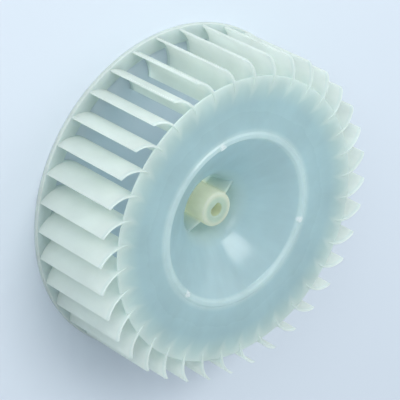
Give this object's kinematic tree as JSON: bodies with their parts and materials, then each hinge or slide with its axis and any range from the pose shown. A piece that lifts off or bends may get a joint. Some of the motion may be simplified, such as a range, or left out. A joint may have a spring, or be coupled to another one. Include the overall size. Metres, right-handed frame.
{
  "type": "dryer fan wheel",
  "caption": "Moulded centrifugal blower wheel: cambered blades between a dished disc and a tie ring, with a flatted-bore hub in the dish.",
  "frame": {"origin": "on the shaft axis, in the plane of the tie ring's outer face", "axes": "+Z along the shaft axis, from the tie ring and air inlet towards the disc and the motor; +X through the tip of one blade"},
  "size_m": [0.152, 0.152, 0.045],
  "materials": {
    "natural_polypropylene": "translucent natural polypropylene, as moulded, satin"
  },
  "bodies": {
    "root": {"fan_wheel": "natural_polypropylene"}
  },
  "joints": []
}
